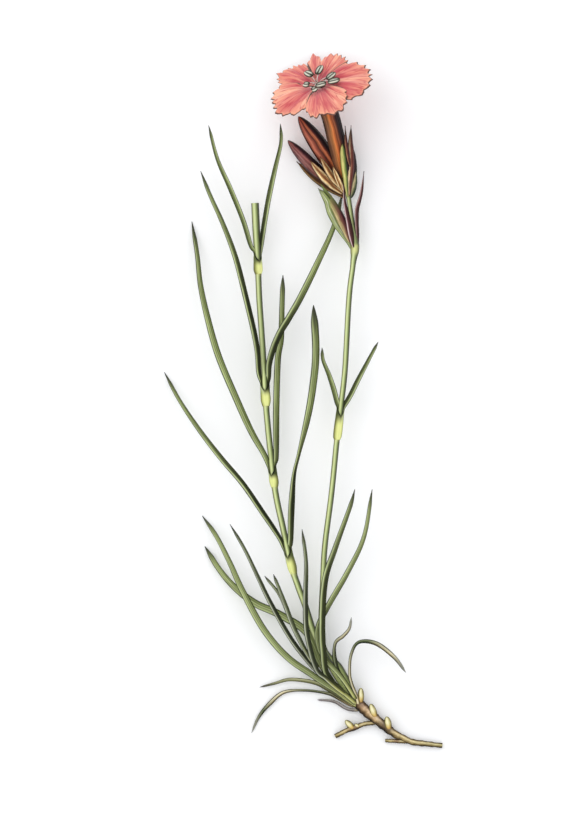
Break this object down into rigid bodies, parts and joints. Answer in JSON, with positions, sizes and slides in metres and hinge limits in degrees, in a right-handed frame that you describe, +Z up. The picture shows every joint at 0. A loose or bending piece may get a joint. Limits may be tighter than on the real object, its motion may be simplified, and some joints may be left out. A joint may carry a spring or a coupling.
{
  "type": "uprooted dianthus plant",
  "caption": "A slender pink in flower, taken up with its rootstock: grassy basal leaves, a leafy stem, a flowering stem, toothed coral petals and red-brown buds. It lies down.",
  "frame": {"origin": "on the surface the plant lies on, at the flat spot under the crown where the roots meet the stems", "axes": "+Y from the crown towards the flower, along the stems; +X to the right when the plant is looked down on with its flower at the top; +Z up from the surface"},
  "size_m": [0.0699, 0.1739, 0.0233],
  "materials": {
    "anther_tissue": "matt, olive grey",
    "brown_scale": "matt, brown",
    "calyx_skin": "satin, red-brown",
    "dry_leaf": "matt, straw and brown",
    "leaf_blade": "satin, green",
    "petal_tissue": "matt, coral pink",
    "purple_awn": "matt, purple",
    "purple_bud_skin": "satin, purple-brown",
    "root_bark": "rough, tan",
    "stem_skin": "smooth, yellow-green",
    "straw_scale": "matt, straw"
  },
  "bodies": {
    "root": {"basal_leaf_1": "leaf_blade", "basal_leaf_2": "leaf_blade", "basal_leaf_3": "leaf_blade", "basal_leaf_4": "leaf_blade", "basal_leaf_5": "leaf_blade", "basal_leaf_6": "leaf_blade", "basal_leaf_pair": "leaf_blade", "bud_scale_inner": "brown_scale", "bud_scale_lower": "brown_scale", "bud_scale_upper": "straw_scale", "calyx_scale_awned": "brown_scale", "calyx_scale_front": "leaf_blade", "calyx_scale_left": "straw_scale", "calyx_scale_right": "brown_scale", "flowering_stem": "stem_skin", "leafy_stem": "stem_skin", "low_bud": "purple_bud_skin", "open_calyx": "calyx_skin", "petal_front": "petal_tissue", "petal_lower_left": "petal_tissue", "petal_right": "petal_tissue", "petal_top": "petal_tissue", "petal_upper_left": "petal_tissue", "right_bud": "brown_scale", "right_scale": "leaf_blade", "rootstock": "root_bark", "scape_leaf_left": "leaf_blade", "scape_leaf_right": "leaf_blade", "stamens": "anther_tissue", "stem_leaf_1_left": "leaf_blade", "stem_leaf_1_right": "leaf_blade", "stem_leaf_2_left": "leaf_blade", "stem_leaf_2_right": "leaf_blade", "stem_leaf_3_left": "leaf_blade", "stem_leaf_3_right": "leaf_blade", "stem_leaf_4_left": "leaf_blade", "stem_leaf_4_right": "leaf_blade", "tall_bud": "calyx_skin", "upper_bract_front": "purple_awn", "upper_bract_inner": "brown_scale", "upper_bract_left": "leaf_blade", "upper_bract_right": "purple_awn", "withered_leaf_1": "dry_leaf", "withered_leaf_2": "dry_leaf", "withered_leaf_3": "dry_leaf", "withered_leaf_4": "dry_leaf", "withered_leaf_5": "dry_leaf"}
  },
  "joints": []
}
